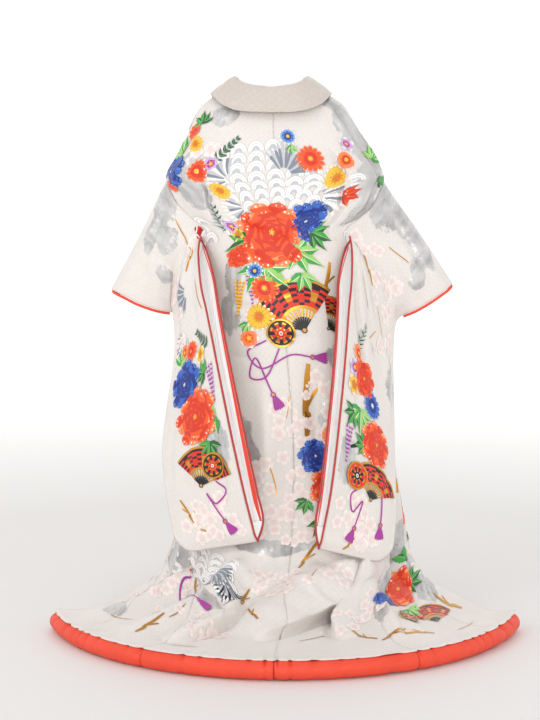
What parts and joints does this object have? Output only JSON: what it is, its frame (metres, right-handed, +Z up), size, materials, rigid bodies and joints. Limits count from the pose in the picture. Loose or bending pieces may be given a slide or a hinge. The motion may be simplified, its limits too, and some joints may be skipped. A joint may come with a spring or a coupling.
{
  "type": "worn wedding over-robe",
  "caption": "Long ivory silk over-robe with deep hanging sleeves, a wide folded collar and a padded red hem roll, worn open with its train spread on the floor.",
  "frame": {"origin": "where the wearer carries the robe: between the shoulders at the base of the neck, 1.30 m above the floor that the hem lies on", "axes": "+Z up, +Y the way the wearer faces; the decorated back and the spread train face -Y"},
  "size_m": [1.1237, 0.9243, 1.3389],
  "materials": {
    "ivory_brocade": "satin",
    "ivory_collar_satin": "satin",
    "white_lining": "matte",
    "vermilion_silk": "satin",
    "red_piping": "satin"
  },
  "bodies": {
    "root": {"back_left": "ivory_brocade", "back_right": "ivory_brocade", "collar": "ivory_collar_satin", "collar_lining": "white_lining", "cuff_piping_left": "vermilion_silk", "cuff_piping_right": "vermilion_silk", "front_left": "ivory_brocade", "front_right": "ivory_brocade", "furi_piping_left": "red_piping", "furi_piping_right": "red_piping", "hem_roll_back_left": "vermilion_silk", "hem_roll_back_right": "vermilion_silk", "hem_roll_front_left": "vermilion_silk", "hem_roll_front_right": "vermilion_silk", "overlap_left": "ivory_brocade", "overlap_right": "ivory_brocade", "sleeve_back_left": "ivory_brocade", "sleeve_back_right": "ivory_brocade", "sleeve_front_left": "ivory_brocade", "sleeve_front_right": "ivory_brocade", "sleeve_lining_left": "white_lining", "sleeve_lining_right": "white_lining"}
  },
  "joints": []
}
